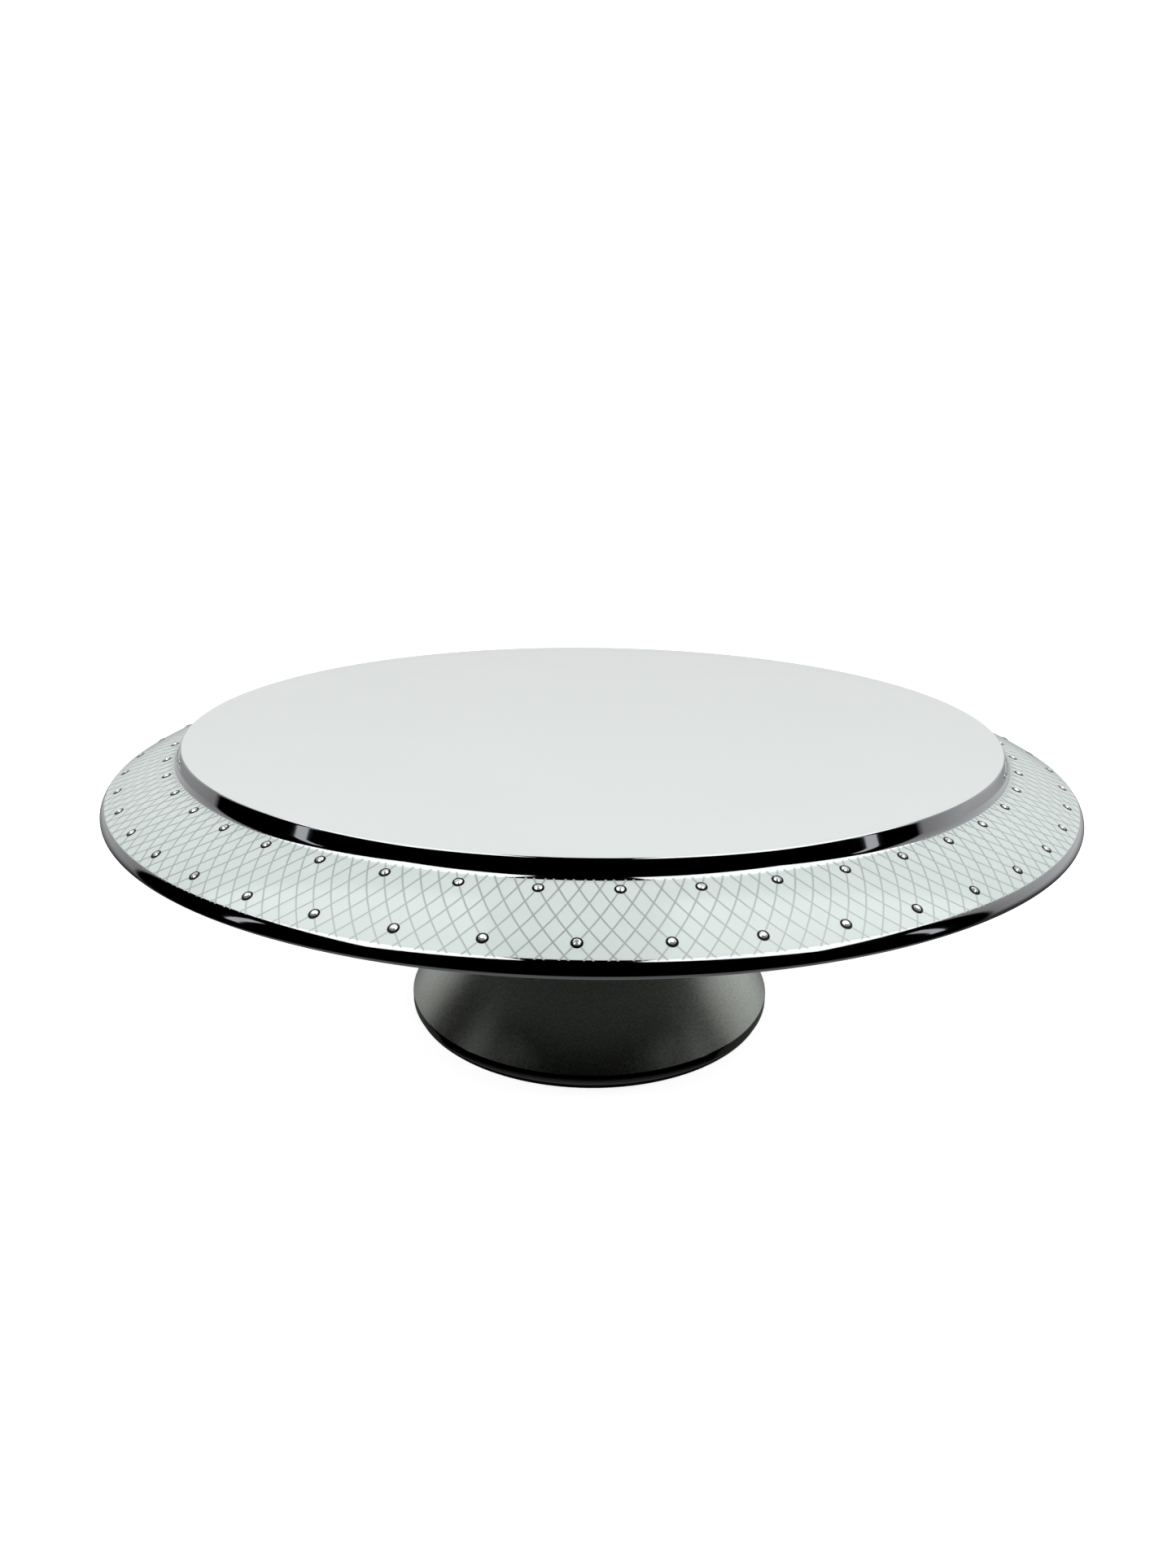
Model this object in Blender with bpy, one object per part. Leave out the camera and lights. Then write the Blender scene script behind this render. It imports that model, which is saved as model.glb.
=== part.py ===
"""Cake turntable: a porcelain plate that turns on a ball bearing in the top of a flared steel foot.

The frame has +Z up, with the origin under the middle of the foot, on the table. Lengths are in metres.
Pieces are stacked down from the plate's top face, and the foot takes up what is left of the height.
"""

import math

import bmesh
import bpy
from mathutils import Vector
from mathutils.geometry import interpolate_bezier

MM = 0.001

# Driving dimensions of the whole object
HEIGHT = 118 * MM
PLATE_RADIUS = 175 * MM
FOOT_RADIUS = 72.5 * MM

# Clearances between pieces
SEAT_GAP = 0.3 * MM
RUNNING_GAP = 0.6 * MM

# Porcelain plate: a flat middle, a short steep step, and a rim that slopes down to a rolled lip
RIM_WIDTH = 27 * MM
MIDDLE_THICKNESS = 8 * MM
STEP_DROP = 5.1 * MM
STEP_RUN = 2.2 * MM
STEP_ROUND = 1.0 * MM
RIM_DROP = 9.9 * MM
RIM_CROWN = 0.9 * MM
LIP_WIDTH = 2.4 * MM
LIP_DEPTH = 5.6 * MM
LIP_FOOT_WIDTH = 5.0 * MM
RIM_THICKNESS = 5.6 * MM

# Carrier disc under the plate, and the silicone ring that bonds the two
CARRIER_RADIUS = 60 * MM
CARRIER_THICKNESS = 4.2 * MM
BOND_WIDTH = 22 * MM
BOND_THICKNESS = 1.2 * MM
HUB_RADIUS = 11 * MM
HUB_LENGTH = 7.5 * MM

# Thrust ball bearing, with its first ball at BALL_START degrees
BALL_COUNT = 12
BALL_START = 5.0
BALL_RADIUS = 3.0 * MM
BALL_PITCH_RADIUS = 36 * MM
RACE_WIDTH = 12 * MM
RACE_THICKNESS = 3.2 * MM
RACE_FACE_TO_BALL_CENTRE = 1.8 * MM
RACE_SEAT_DEPTH = 1.2 * MM
CAGE_WIDTH = 9.6 * MM
CAGE_THICKNESS = 2.2 * MM

# Spindle, fixed in the carrier and held down by a washer and a lock nut inside the foot
SPINDLE_RADIUS = 4.0 * MM
SPINDLE_HEAD_RADIUS = 8.0 * MM
SPINDLE_HEAD_THICKNESS = 1.6 * MM
SPINDLE_TAIL = 10.5 * MM
WASHER_RADIUS = 9.0 * MM
WASHER_THICKNESS = 1.6 * MM
NUT_ACROSS_FLATS = 13.0 * MM
NUT_THICKNESS = 6.5 * MM

# Bearing housing in the top of the foot, with a bush at each end of its tube
HOUSING_RADIUS = 46 * MM
HOUSING_THICKNESS = 4.4 * MM
HOUSING_TUBE_RADIUS = 12 * MM
HOUSING_TUBE_LENGTH = 20 * MM
BUSH_WALL = 2.2 * MM
BUSH_LENGTH = 7.0 * MM
BUSH_FLANGE_RADIUS = 8.6 * MM
BUSH_FLANGE_THICKNESS = 1.2 * MM
HOUSING_SCREW_COUNT = 4
HOUSING_SCREW_CIRCLE = 24 * MM

# Foot: a spun trumpet shell with a flange turned in at each end
FOOT_WALL = 2.4 * MM
FOOT_RIM_HEIGHT = 5.8 * MM
FOOT_RIM_ROUND = 1.2 * MM
FOOT_RIM_CHAMFER = 0.5 * MM
FOOT_LEAN = 0.65
NECK_RADIUS = 24.5 * MM
NECK_SHARE = 0.80
FOOT_TOP_RADIUS = 47 * MM
FOOT_TOP_EDGE = 2.0 * MM
TOP_FLANGE_THICKNESS = 3.0 * MM
TOP_FLANGE_HOLE = 19 * MM
BOTTOM_FLANGE_THICKNESS = 3.6 * MM
FOOT_EDGE_WIDTH = 5.5 * MM
BOTTOM_FLANGE_WIDTH = 15 * MM
BOTTOM_FLANGE_HOLE = FOOT_RADIUS - FOOT_EDGE_WIDTH - BOTTOM_FLANGE_WIDTH

# Base cover, ballast and rubber foot ring, all let into the foot's bottom
COVER_RADIUS = FOOT_RADIUS - FOOT_EDGE_WIDTH
COVER_THICKNESS = 2.4 * MM
COVER_SCREW_COUNT = 3
COVER_SCREW_CIRCLE = (COVER_RADIUS + BOTTOM_FLANGE_HOLE) / 2 - 2 * MM
BALLAST_RADIUS = BOTTOM_FLANGE_HOLE - 2 * MM
BALLAST_HOLE = 20 * MM
BALLAST_HEIGHT = 15 * MM
BALLAST_SCREW_COUNT = 3
BALLAST_SCREW_CIRCLE = (BALLAST_RADIUS + BALLAST_HOLE) / 2 + 1 * MM
FOOT_RING_THICKNESS = 1.7 * MM
FOOT_RING_WIDTH = 8.0 * MM
FOOT_RING_INSET = 1.0 * MM

# Screws, all of one thread
SCREW_RADIUS = 1.5 * MM
SCREW_HEAD_RADIUS = 2.9 * MM
PAN_HEAD_HEIGHT = 1.9 * MM
COUNTERSINK_DEPTH = 1.5 * MM
SOCKET_RADIUS = 1.3 * MM
SOCKET_DEPTH = 1.0 * MM

# Segments round a turn, more on the larger pieces
FINE = 64
MEDIUM = 40
COARSE = 20
TINY = 12

# Stack of heights, from the plate's top face down to the foot's top face
PLATE_TOP = HEIGHT
PLATE_UNDERSIDE = PLATE_TOP - MIDDLE_THICKNESS
BOND_TOP = PLATE_UNDERSIDE - SEAT_GAP
CARRIER_TOP = BOND_TOP - BOND_THICKNESS - SEAT_GAP
CARRIER_UNDERSIDE = CARRIER_TOP - CARRIER_THICKNESS
UPPER_RACE_TOP = CARRIER_UNDERSIDE + RACE_SEAT_DEPTH - SEAT_GAP
BALL_CENTRE = UPPER_RACE_TOP - RACE_THICKNESS - RACE_FACE_TO_BALL_CENTRE
LOWER_RACE_BOTTOM = BALL_CENTRE - RACE_FACE_TO_BALL_CENTRE - RACE_THICKNESS
HOUSING_TOP = LOWER_RACE_BOTTOM - SEAT_GAP + RACE_SEAT_DEPTH
HOUSING_UNDERSIDE = HOUSING_TOP - HOUSING_THICKNESS
HOUSING_TUBE_BOTTOM = HOUSING_UNDERSIDE - HOUSING_TUBE_LENGTH
FOOT_TOP = HOUSING_UNDERSIDE - SEAT_GAP

# Stack of heights, from the table up
FOOT_BOTTOM = FOOT_RING_THICKNESS + SEAT_GAP
COVER_TOP = FOOT_BOTTOM + COVER_THICKNESS
BOTTOM_FLANGE_UNDERSIDE = COVER_TOP + SEAT_GAP
BALLAST_BOTTOM = COVER_TOP + SEAT_GAP

MATERIALS = {
    "porcelain": ((0.77, 0.80, 0.79), 0.08, 0.0),
    "silicone": ((0.62, 0.63, 0.62), 0.65, 0.0),
    "aluminium": ((0.70, 0.71, 0.72), 0.38, 1.0),
    "bearing_steel": ((0.55, 0.56, 0.58), 0.18, 1.0),
    "nylon": ((0.80, 0.79, 0.74), 0.55, 0.0),
    "bronze": ((0.58, 0.40, 0.20), 0.35, 1.0),
    "zinc_steel": ((0.62, 0.63, 0.66), 0.30, 1.0),
    "satin_steel": ((0.36, 0.37, 0.36), 0.34, 1.0),
    "cast_iron": ((0.09, 0.09, 0.095), 0.75, 0.6),
    "black_rubber": ((0.02, 0.02, 0.02), 0.85, 0.0),
}


def clear_scene():
    for old in list(bpy.data.objects):
        bpy.data.objects.remove(old, do_unlink=True)


def finish_of(name):
    """The Principled material of that name, made once."""
    if name in bpy.data.materials:
        return bpy.data.materials[name]
    colour, roughness, metallic = MATERIALS[name]
    material = bpy.data.materials.new(name)
    material.use_nodes = True
    shader = material.node_tree.nodes["Principled BSDF"]
    shader.inputs["Base Color"].default_value = (*colour, 1.0)
    shader.inputs["Roughness"].default_value = roughness
    shader.inputs["Metallic"].default_value = metallic
    return material


def add_object(name, mesh, material, parent, location=(0, 0, 0)):
    piece = bpy.data.objects.new(name, mesh)
    bpy.context.scene.collection.objects.link(piece)
    piece.parent = parent
    piece.location = location
    if not mesh.materials:
        mesh.materials.append(finish_of(material))
    return piece


def add_axis(name, height):
    """An empty on the vertical axis that a moving body's pieces are parented to."""
    axis = bpy.data.objects.new(name, None)
    bpy.context.scene.collection.objects.link(axis)
    axis.location = (0, 0, height)
    return axis


def mesh_of(bm, name):
    bmesh.ops.remove_doubles(bm, verts=bm.verts, dist=1e-6)
    bmesh.ops.recalc_face_normals(bm, faces=bm.faces)
    mesh = bpy.data.meshes.new(name)
    bm.to_mesh(mesh)
    bm.free()
    mesh.shade_smooth()
    mesh.set_sharp_from_angle(angle=math.radians(35))
    return mesh


def turned(name, section, segments, base=0.0):
    """A mesh turned round Z from a section of (radius, height) points.

    A section that starts and ends on the axis is left open there, and any other is closed.
    Heights are taken from base, which is the height of the object's own origin.
    """
    bm = bmesh.new()
    points = [bm.verts.new((radius, 0, height - base)) for radius, height in section]
    solid = section[0][0] == 0 and section[-1][0] == 0
    followers = points[1:] if solid else points[1:] + points[:1]
    edges = [bm.edges.new(pair) for pair in zip(points, followers)]
    bmesh.ops.spin(
        bm,
        geom=points + edges,
        cent=(0, 0, 0),
        axis=(0, 0, 1),
        angle=math.tau,
        steps=segments,
        use_merge=True,
    )
    return mesh_of(bm, name)


def arc(centre, radius, start, end, steps):
    """Points of (radius, height) on an arc, with its angles in degrees from straight outwards."""
    angles = [math.radians(start + (end - start) * i / steps) for i in range(steps + 1)]
    return [
        (centre[0] + radius * math.cos(a), centre[1] + radius * math.sin(a))
        for a in angles
    ]


def curve(start, start_handle, end_handle, end, steps):
    """Points of (radius, height) on a Bezier curve."""
    knots = [Vector(p) for p in (start, start_handle, end_handle, end)]
    return [(p.x, p.y) for p in interpolate_bezier(*knots, steps + 1)]


def offset_inwards(section, distance):
    """An outline that runs upwards, moved towards the axis by the wall's thickness."""
    moved = []
    for i, point in enumerate(section):
        before = Vector(section[max(i - 1, 0)])
        after = Vector(section[min(i + 1, len(section) - 1)])
        along = (after - before).normalized()
        moved.append((point[0] - along.y * distance, point[1] + along.x * distance))
    return moved


def ring(name, inner, outer, bottom, top, segments, base=0.0):
    """A plain flat ring."""
    section = [(inner, bottom), (outer, bottom), (outer, top), (inner, top)]
    return turned(name, section, segments, base)


def on_circle(radius, count, start=0.0):
    """Points on a circle round the axis, as (x, y), with the first at start degrees."""
    turns = [math.radians(start) + math.tau * i / count for i in range(count)]
    return [(radius * math.cos(t), radius * math.sin(t)) for t in turns]


def cut(piece, cutter_mesh, places):
    """Cuts the same hole in a piece at each place, with one hidden cutter to a hole."""
    for number, place in enumerate(places, 1):
        cutter = bpy.data.objects.new(f"{piece.name}_cutter_{number}", cutter_mesh)
        bpy.context.scene.collection.objects.link(cutter)
        cutter.parent = piece.parent
        cutter.location = place
        cutter.hide_render = True
        cutter.display_type = "WIRE"
        hole = piece.modifiers.new(f"hole_{number}", "BOOLEAN")
        hole.operation = "DIFFERENCE"
        hole.object = cutter


def plate_section():
    """The plate's outline: out along the top, over the rim and lip, and back along the underside."""
    middle_radius = PLATE_RADIUS - RIM_WIDTH
    step_bottom = (middle_radius + STEP_RUN, PLATE_TOP - STEP_DROP)
    rim_end = (PLATE_RADIUS - LIP_WIDTH, PLATE_TOP - STEP_DROP - RIM_DROP)
    crown = Vector((RIM_DROP, rim_end[0] - step_bottom[0])).normalized() * RIM_CROWN * 2
    middle = (Vector(step_bottom) + Vector(rim_end)) / 2 + crown
    rim = curve(step_bottom, middle, middle, rim_end, 4)
    lip_bottom = rim_end[1] - LIP_DEPTH
    lip = curve(
        rim_end,
        (PLATE_RADIUS + LIP_WIDTH * 0.2, rim_end[1] - LIP_DEPTH * 0.3),
        (PLATE_RADIUS + LIP_WIDTH * 0.3, lip_bottom),
        (PLATE_RADIUS - LIP_FOOT_WIDTH * 0.6, lip_bottom),
        6,
    )
    reach = max(radius for radius, _ in lip)
    lip = [(radius - (reach - PLATE_RADIUS), height) for radius, height in lip[1:]]
    slope = RIM_DROP / (rim_end[0] - step_bottom[0])
    inner_rim = (rim_end[0] - LIP_FOOT_WIDTH - LIP_WIDTH, rim_end[1] - RIM_THICKNESS * 0.55)
    run_up = (PLATE_UNDERSIDE - inner_rim[1]) / slope
    underside = curve(
        inner_rim,
        (inner_rim[0] - run_up * 0.55, inner_rim[1] + (PLATE_UNDERSIDE - inner_rim[1]) * 0.6),
        (inner_rim[0] - run_up * 0.8, PLATE_UNDERSIDE),
        (inner_rim[0] - run_up * 1.3, PLATE_UNDERSIDE),
        4,
    )
    return [
        (0, PLATE_TOP),
        (middle_radius - STEP_ROUND, PLATE_TOP),
        (middle_radius - STEP_ROUND * 0.3, PLATE_TOP - STEP_ROUND * 0.3),
        (middle_radius, PLATE_TOP - STEP_ROUND),
        *rim,
        *lip,
        *underside,
        (0, PLATE_UNDERSIDE),
    ]


def make_plate(turntable):
    add_object("plate", turned("plate", plate_section(), FINE, PLATE_TOP), "porcelain", turntable)


def make_bond_ring(turntable):
    inner = CARRIER_RADIUS - SEAT_GAP - BOND_WIDTH
    outer = CARRIER_RADIUS - SEAT_GAP
    mesh = ring("bond_ring", inner, outer, BOND_TOP - BOND_THICKNESS, BOND_TOP, MEDIUM, PLATE_TOP)
    add_object("bond_ring", mesh, "silicone", turntable)


def make_carrier(turntable):
    """A disc with a hub for the spindle, a counterbore for its head, and a seat for the upper race."""
    bore = SPINDLE_RADIUS + SEAT_GAP
    head_seat = CARRIER_TOP - SPINDLE_HEAD_THICKNESS - 2 * SEAT_GAP
    race_inner = BALL_PITCH_RADIUS - RACE_WIDTH / 2 - SEAT_GAP
    race_outer = BALL_PITCH_RADIUS + RACE_WIDTH / 2 + SEAT_GAP
    seat = CARRIER_UNDERSIDE + RACE_SEAT_DEPTH
    section = [
        (bore, CARRIER_UNDERSIDE - HUB_LENGTH),
        (HUB_RADIUS, CARRIER_UNDERSIDE - HUB_LENGTH),
        (HUB_RADIUS, CARRIER_UNDERSIDE),
        (race_inner, CARRIER_UNDERSIDE),
        (race_inner, seat),
        (race_outer, seat),
        (race_outer, CARRIER_UNDERSIDE),
        (CARRIER_RADIUS, CARRIER_UNDERSIDE),
        (CARRIER_RADIUS, CARRIER_TOP),
        (SPINDLE_HEAD_RADIUS + SEAT_GAP, CARRIER_TOP),
        (SPINDLE_HEAD_RADIUS + SEAT_GAP, head_seat),
        (bore, head_seat),
    ]
    add_object("carrier", turned("carrier", section, MEDIUM, PLATE_TOP), "aluminium", turntable)


def make_race(name, face, back, parent, base):
    """A race with a round groove in its face. The groove's centre is the ball's centre."""
    inner = BALL_PITCH_RADIUS - RACE_WIDTH / 2
    outer = BALL_PITCH_RADIUS + RACE_WIDTH / 2
    groove_radius = BALL_RADIUS + SEAT_GAP
    side = 1 if back > face else -1
    half = math.degrees(math.acos(RACE_FACE_TO_BALL_CENTRE / groove_radius))
    middle = 90 * side
    centre = (BALL_PITCH_RADIUS, BALL_CENTRE)
    groove = arc(centre, groove_radius, middle + side * half, middle - side * half, 4)
    section = [(inner, face), *groove, (outer, face), (outer, back), (inner, back)]
    add_object(name, turned(name, section, MEDIUM, base), "bearing_steel", parent)


def make_spindle(turntable):
    """A shouldered steel pin. Its head lies in the carrier, and its tail takes the washer and nut."""
    top = CARRIER_TOP - SEAT_GAP
    bottom = HOUSING_TUBE_BOTTOM - SPINDLE_TAIL
    chamfer = 0.6 * MM
    section = [
        (0, bottom),
        (SPINDLE_RADIUS - chamfer, bottom),
        (SPINDLE_RADIUS, bottom + chamfer),
        (SPINDLE_RADIUS, top - SPINDLE_HEAD_THICKNESS),
        (SPINDLE_HEAD_RADIUS, top - SPINDLE_HEAD_THICKNESS),
        (SPINDLE_HEAD_RADIUS, top),
        (0, top),
    ]
    add_object("spindle", turned("spindle", section, COARSE, PLATE_TOP), "zinc_steel", turntable)


def lower_bush_bottom():
    return HOUSING_TUBE_BOTTOM - SEAT_GAP - BUSH_FLANGE_THICKNESS


def make_washer_and_nut(turntable):
    bore = SPINDLE_RADIUS + SEAT_GAP
    washer_top = lower_bush_bottom() - SEAT_GAP
    washer_bottom = washer_top - WASHER_THICKNESS
    mesh = ring("thrust_washer", bore, WASHER_RADIUS, washer_bottom, washer_top, COARSE, PLATE_TOP)
    add_object("thrust_washer", mesh, "zinc_steel", turntable)
    nut_top = washer_bottom - SEAT_GAP
    corner = NUT_ACROSS_FLATS / 2 / math.cos(math.radians(30))
    bm = bmesh.new()
    bmesh.ops.create_cone(
        bm,
        cap_ends=True,
        segments=6,
        radius1=corner,
        radius2=corner,
        depth=NUT_THICKNESS,
    )
    middle = nut_top - NUT_THICKNESS / 2 - PLATE_TOP
    nut = add_object("lock_nut", mesh_of(bm, "lock_nut"), "zinc_steel", turntable, (0, 0, middle))
    bore_mesh = turned("nut_bore", peg(bore, -NUT_THICKNESS, NUT_THICKNESS), COARSE)
    cut(nut, bore_mesh, [(0, 0, middle)])


def peg(radius, bottom, top):
    """The section of a plain round peg."""
    return [(0, bottom), (radius, bottom), (radius, top), (0, top)]


def make_balls_and_cage(cage_axis):
    cage_inner = BALL_PITCH_RADIUS - CAGE_WIDTH / 2
    cage_outer = BALL_PITCH_RADIUS + CAGE_WIDTH / 2
    half = CAGE_THICKNESS / 2
    mesh = ring("ball_cage", cage_inner, cage_outer, -half, half, 4 * BALL_COUNT)
    cage = add_object("ball_cage", mesh, "nylon", cage_axis)
    places = [(x, y, 0) for x, y in on_circle(BALL_PITCH_RADIUS, BALL_COUNT, BALL_START)]
    pocket = turned("pocket", peg(BALL_RADIUS + SEAT_GAP, -2 * half, 2 * half), 16)
    cut(cage, pocket, places)
    bm = bmesh.new()
    bmesh.ops.create_uvsphere(bm, u_segments=TINY, v_segments=6, radius=BALL_RADIUS)
    ball = mesh_of(bm, "ball")
    for number, place in enumerate(places, 1):
        add_object(f"ball_{number:02d}", ball, "bearing_steel", cage_axis, place)


def make_bearing_housing():
    """A flange with a seat for the lower race, and a tube bored for a bush at each end."""
    bore = SPINDLE_RADIUS + SEAT_GAP + BUSH_WALL + SEAT_GAP
    seat = HOUSING_TOP - RACE_SEAT_DEPTH
    race_inner = BALL_PITCH_RADIUS - RACE_WIDTH / 2 - SEAT_GAP
    race_outer = BALL_PITCH_RADIUS + RACE_WIDTH / 2 + SEAT_GAP
    bush_seat = HOUSING_TOP - BUSH_FLANGE_THICKNESS - SEAT_GAP
    flange = BUSH_FLANGE_RADIUS + SEAT_GAP
    section = [
        (bore, HOUSING_TUBE_BOTTOM),
        (HOUSING_TUBE_RADIUS, HOUSING_TUBE_BOTTOM),
        (HOUSING_TUBE_RADIUS, HOUSING_UNDERSIDE),
        (HOUSING_RADIUS, HOUSING_UNDERSIDE),
        (HOUSING_RADIUS, HOUSING_TOP),
        (race_outer, HOUSING_TOP),
        (race_outer, seat),
        (race_inner, seat),
        (race_inner, HOUSING_TOP),
        (flange, HOUSING_TOP),
        (flange, bush_seat),
        (bore, bush_seat),
    ]
    mesh = turned("bearing_housing", section, MEDIUM)
    housing = add_object("bearing_housing", mesh, "aluminium", None)
    shank = peg(SCREW_RADIUS + SEAT_GAP, -HOUSING_THICKNESS, HOUSING_THICKNESS)
    middle = HOUSING_TOP - HOUSING_THICKNESS / 2
    places = [(x, y, middle) for x, y in housing_screw_places()]
    cut(housing, turned("housing_hole", shank, TINY), places)


def housing_screw_places():
    return on_circle(HOUSING_SCREW_CIRCLE, HOUSING_SCREW_COUNT, 45)


def make_bushes():
    """Two flanged bronze bushes, one let into each end of the housing's tube."""
    inner = SPINDLE_RADIUS + SEAT_GAP
    outer = inner + BUSH_WALL
    section = [
        (inner, -BUSH_LENGTH),
        (outer, -BUSH_LENGTH),
        (outer, -BUSH_FLANGE_THICKNESS),
        (BUSH_FLANGE_RADIUS, -BUSH_FLANGE_THICKNESS),
        (BUSH_FLANGE_RADIUS, 0),
        (inner, 0),
    ]
    add_object("upper_bush", turned("upper_bush", section, COARSE), "bronze", None, (0, 0, HOUSING_TOP))
    upside_down = [(radius, -height) for radius, height in section]
    lower = turned("lower_bush", upside_down, COARSE)
    add_object("lower_bush", lower, "bronze", None, (0, 0, lower_bush_bottom()))


def foot_outline():
    """The foot's outer side, up from its bottom edge, over the rim and the neck, to its top edge."""
    rim_centre = (FOOT_RADIUS - FOOT_RIM_ROUND, FOOT_RIM_HEIGHT - FOOT_RIM_ROUND * 0.4)
    rim = [
        (FOOT_RADIUS - FOOT_RIM_CHAMFER, FOOT_BOTTOM),
        (FOOT_RADIUS, FOOT_BOTTOM + FOOT_RIM_CHAMFER),
    ]
    rim += arc(rim_centre, FOOT_RIM_ROUND, 0, math.degrees(math.atan(FOOT_LEAN)), 2)
    low = rim[-1]
    neck_height = FOOT_BOTTOM + NECK_SHARE * (FOOT_TOP - FOOT_BOTTOM)
    climb = neck_height - low[1]
    cone = curve(
        low,
        (low[0] - FOOT_LEAN * climb * 0.62, low[1] + climb * 0.62),
        (NECK_RADIUS, neck_height - climb * 0.42),
        (NECK_RADIUS, neck_height),
        6,
    )
    flare_end = (FOOT_TOP_RADIUS, FOOT_TOP - FOOT_TOP_EDGE)
    flare_climb = flare_end[1] - neck_height
    flare = curve(
        (NECK_RADIUS, neck_height),
        (NECK_RADIUS, neck_height + flare_climb * 0.75),
        (FOOT_TOP_RADIUS - flare_climb * 1.1, flare_end[1] - flare_climb * 0.1),
        flare_end,
        5,
    )
    return rim[:-1] + cone[:-1] + flare


def make_foot():
    """The flared shell. Its bottom flange takes the cover's screws, its top flange the housing's."""
    outline = foot_outline()
    wall = offset_inwards(outline, FOOT_WALL)
    flange_top = BOTTOM_FLANGE_UNDERSIDE + BOTTOM_FLANGE_THICKNESS
    top_flange = FOOT_TOP - TOP_FLANGE_THICKNESS
    inside = [p for p in wall if flange_top < p[1] < top_flange - FOOT_WALL * 0.4]
    edge = wall_radius_at(wall, flange_top)
    section = [
        (COVER_RADIUS + SEAT_GAP, FOOT_BOTTOM),
        *outline,
        (FOOT_TOP_RADIUS, FOOT_TOP),
        (TOP_FLANGE_HOLE, FOOT_TOP),
        (TOP_FLANGE_HOLE, top_flange),
        (inside[-1][0], top_flange),
        *reversed(inside),
        (edge, flange_top),
        (BOTTOM_FLANGE_HOLE, flange_top),
        (BOTTOM_FLANGE_HOLE, BOTTOM_FLANGE_UNDERSIDE),
        (COVER_RADIUS + SEAT_GAP, BOTTOM_FLANGE_UNDERSIDE),
    ]
    foot = add_object("foot", turned("foot", section, FINE), "satin_steel", None)
    reach = 2 * max(TOP_FLANGE_THICKNESS, BOTTOM_FLANGE_THICKNESS)
    hole = turned("foot_hole", peg(SCREW_RADIUS + SEAT_GAP, -reach / 2, reach / 2), TINY)
    top_holes = [(x, y, FOOT_TOP - TOP_FLANGE_THICKNESS / 2) for x, y in housing_screw_places()]
    low_middle = BOTTOM_FLANGE_UNDERSIDE + BOTTOM_FLANGE_THICKNESS / 2
    cut(foot, hole, top_holes + [(x, y, low_middle) for x, y in cover_screw_places()])


def wall_radius_at(wall, height):
    """The radius of the foot's inner wall at a height near its bottom."""
    below = [p for p in wall if p[1] <= height][-1]
    above = [p for p in wall if p[1] > height][0]
    share = (height - below[1]) / (above[1] - below[1])
    return below[0] + share * (above[0] - below[0])


def cover_screw_places():
    return on_circle(COVER_SCREW_CIRCLE, COVER_SCREW_COUNT, 90)


def ballast_screw_places():
    return on_circle(BALLAST_SCREW_CIRCLE, BALLAST_SCREW_COUNT, 30)


def make_base_cover():
    """A flat disc that closes the foot, countersunk for its own screws and the ballast's."""
    disc = turned("base_cover", peg(COVER_RADIUS, FOOT_BOTTOM, COVER_TOP), FINE)
    cover = add_object("base_cover", disc, "zinc_steel", None)
    radius = SCREW_RADIUS + SEAT_GAP
    head = SCREW_HEAD_RADIUS + SEAT_GAP
    below = -MM
    section = [
        (0, below),
        (head, below),
        (head, SEAT_GAP),
        (radius, COUNTERSINK_DEPTH + SEAT_GAP),
        (radius, 2 * COVER_THICKNESS),
        (0, 2 * COVER_THICKNESS),
    ]
    hole = turned("cover_hole", section, TINY)
    places = cover_screw_places() + ballast_screw_places()
    cut(cover, hole, [(x, y, FOOT_BOTTOM) for x, y in places])


def make_ballast():
    top = BALLAST_BOTTOM + BALLAST_HEIGHT
    mesh = ring("ballast", BALLAST_HOLE, BALLAST_RADIUS, BALLAST_BOTTOM, top, MEDIUM)
    ballast = add_object("ballast", mesh, "cast_iron", None)
    depth = ballast_screw_length() - COVER_THICKNESS + MM
    hole = turned("ballast_hole", peg(SCREW_RADIUS + SEAT_GAP, -MM, depth), TINY)
    cut(ballast, hole, [(x, y, BALLAST_BOTTOM) for x, y in ballast_screw_places()])


def make_foot_ring():
    outer = FOOT_RADIUS - FOOT_RING_INSET
    mesh = ring("foot_ring", outer - FOOT_RING_WIDTH, outer, 0, FOOT_RING_THICKNESS, FINE)
    add_object("foot_ring", mesh, "black_rubber", None)


def pan_screw_mesh(length):
    """A pan-head screw that points down, with the underside of its head at its origin."""
    top = PAN_HEAD_HEIGHT
    section = [
        (0, -length),
        (SCREW_RADIUS, -length),
        (SCREW_RADIUS, 0),
        (SCREW_HEAD_RADIUS, 0),
        (SCREW_HEAD_RADIUS, top * 0.6),
        (SCREW_HEAD_RADIUS * 0.75, top),
        (SOCKET_RADIUS, top),
        (SOCKET_RADIUS, top - SOCKET_DEPTH),
        (0, top - SOCKET_DEPTH),
    ]
    return turned("pan_screw", section, TINY)


def flat_screw_mesh(name, length):
    """A countersunk screw that points up, with its head's flat face at its origin."""
    section = [
        (0, SOCKET_DEPTH),
        (SOCKET_RADIUS, SOCKET_DEPTH),
        (SOCKET_RADIUS, 0),
        (SCREW_HEAD_RADIUS, 0),
        (SCREW_RADIUS, COUNTERSINK_DEPTH),
        (SCREW_RADIUS, length),
        (0, length),
    ]
    return turned(name, section, TINY)


def ballast_screw_length():
    return COVER_THICKNESS + BALLAST_HEIGHT * 0.5


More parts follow.
